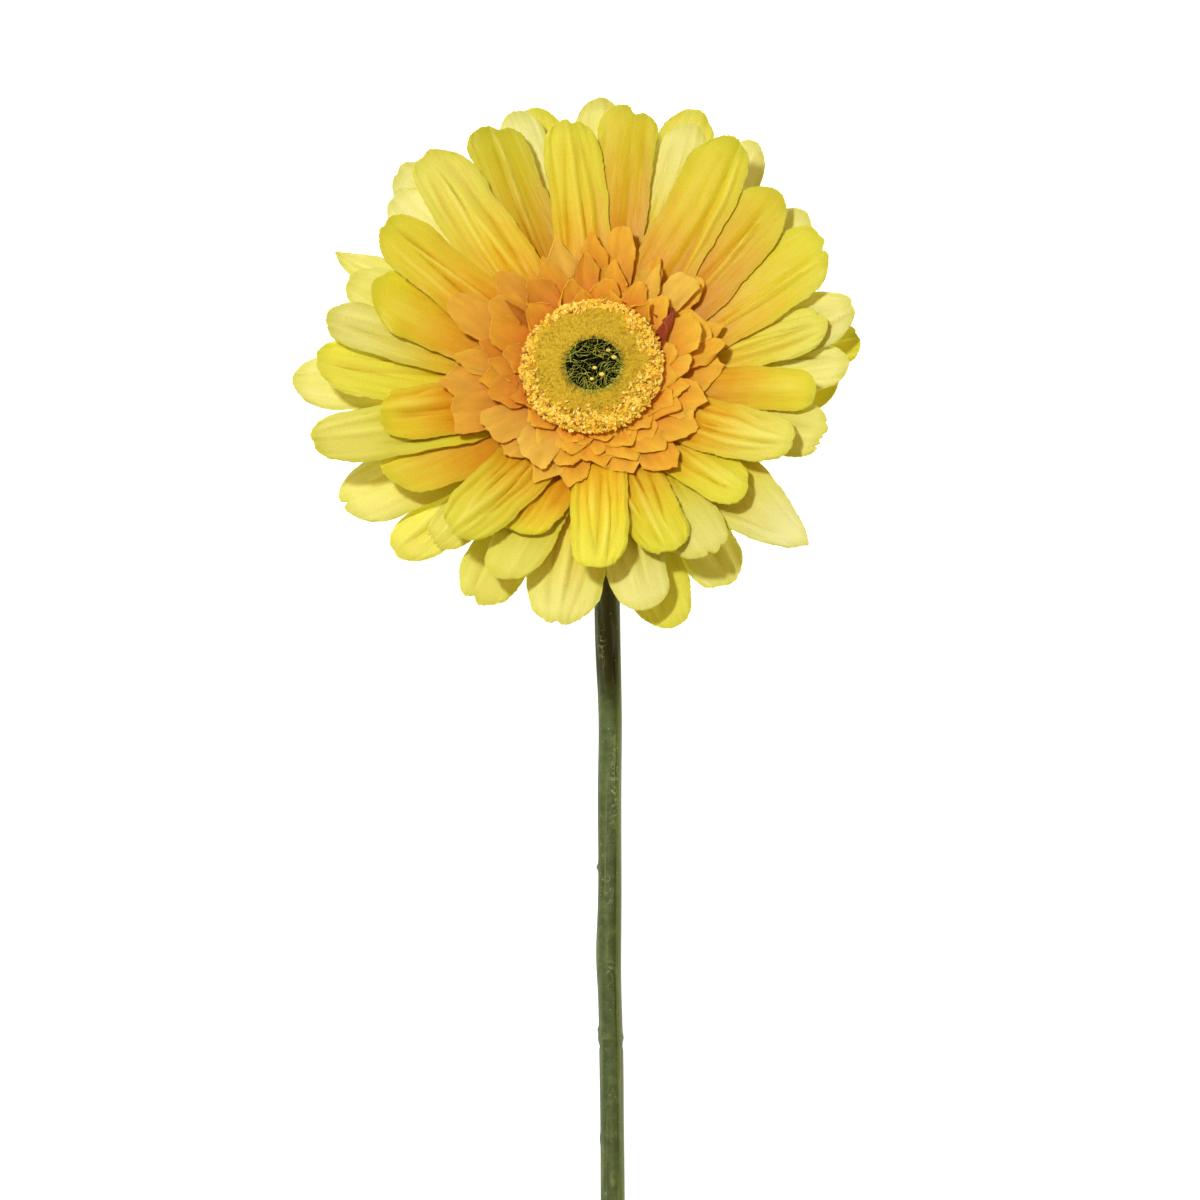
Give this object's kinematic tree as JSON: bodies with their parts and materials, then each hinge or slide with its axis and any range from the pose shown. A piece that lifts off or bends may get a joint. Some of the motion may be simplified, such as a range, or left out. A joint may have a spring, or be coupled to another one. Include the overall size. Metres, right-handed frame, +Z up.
{
  "type": "artificial cut gerbera",
  "caption": "Artificial gerbera stem with yellow cloth petals, orange inner florets, a domed pollen disc with a dark tuft, a green calyx and a wire-cored stem, lying on its back.",
  "frame": {"origin": "on the surface it rests on, under the middle of the whole flower's box", "axes": "+Z up, +Y along the stem from its cut end to the head, +X to the right as the flower is seen from above with its stem towards the viewer"},
  "size_m": [0.1195, 0.4012, 0.0581],
  "materials": {
    "front_petal_cloth": "printed woven polyester, matte with a slight sheen",
    "middle_petal_cloth": "printed woven polyester, matte with a slight sheen",
    "back_petal_cloth": "printed woven polyester, matte with a slight sheen",
    "floret_cloth": "printed woven polyester, matte",
    "disc_foam": "foam flocked with short fibre and glued crumbs",
    "tuft_fibre": "curled fibre, dark",
    "receptacle_plastic": "moulded, matte",
    "calyx_plastic": "moulded, matte",
    "stem_plastic": "moulded, matte, slightly mottled",
    "wire_steel": "drawn, bare"
  },
  "bodies": {
    "root": {"front_petal_01": "front_petal_cloth", "front_petal_02": "front_petal_cloth", "front_petal_03": "front_petal_cloth", "front_petal_04": "front_petal_cloth", "front_petal_05": "front_petal_cloth", "front_petal_06": "front_petal_cloth", "front_petal_07": "front_petal_cloth", "front_petal_08": "front_petal_cloth", "front_petal_09": "front_petal_cloth", "front_petal_10": "front_petal_cloth", "front_petal_11": "front_petal_cloth", "front_petal_12": "front_petal_cloth", "front_petal_13": "front_petal_cloth", "front_petal_14": "front_petal_cloth", "front_petal_15": "front_petal_cloth", "front_petal_16": "front_petal_cloth", "front_petal_17": "front_petal_cloth", "front_petal_18": "front_petal_cloth", "front_petal_19": "front_petal_cloth", "front_petal_20": "front_petal_cloth", "middle_petal_01": "middle_petal_cloth", "middle_petal_02": "middle_petal_cloth", "middle_petal_03": "middle_petal_cloth", "middle_petal_04": "middle_petal_cloth", "middle_petal_05": "middle_petal_cloth", "middle_petal_06": "middle_petal_cloth", "middle_petal_07": "middle_petal_cloth", "middle_petal_08": "middle_petal_cloth", "middle_petal_09": "middle_petal_cloth", "middle_petal_10": "middle_petal_cloth", "middle_petal_11": "middle_petal_cloth", "middle_petal_12": "middle_petal_cloth", "middle_petal_13": "middle_petal_cloth", "middle_petal_14": "middle_petal_cloth", "back_petal_01": "back_petal_cloth", "back_petal_02": "back_petal_cloth", "back_petal_03": "back_petal_cloth", "back_petal_04": "back_petal_cloth", "back_petal_05": "back_petal_cloth", "back_petal_06": "back_petal_cloth", "back_petal_07": "back_petal_cloth", "back_petal_08": "back_petal_cloth", "back_petal_09": "back_petal_cloth", "back_petal_10": "back_petal_cloth", "back_petal_11": "back_petal_cloth", "back_petal_12": "back_petal_cloth", "back_petal_13": "back_petal_cloth", "back_petal_14": "back_petal_cloth", "back_petal_15": "back_petal_cloth", "back_petal_16": "back_petal_cloth", "floret_row_1": "floret_cloth", "floret_row_2": "floret_cloth", "floret_row_3": "floret_cloth", "floret_row_4": "floret_cloth", "flower_disc": "disc_foam", "centre_tuft": "tuft_fibre", "receptacle": "receptacle_plastic", "calyx": "calyx_plastic", "stem": "stem_plastic", "stem_wire": "wire_steel"}
  },
  "joints": []
}
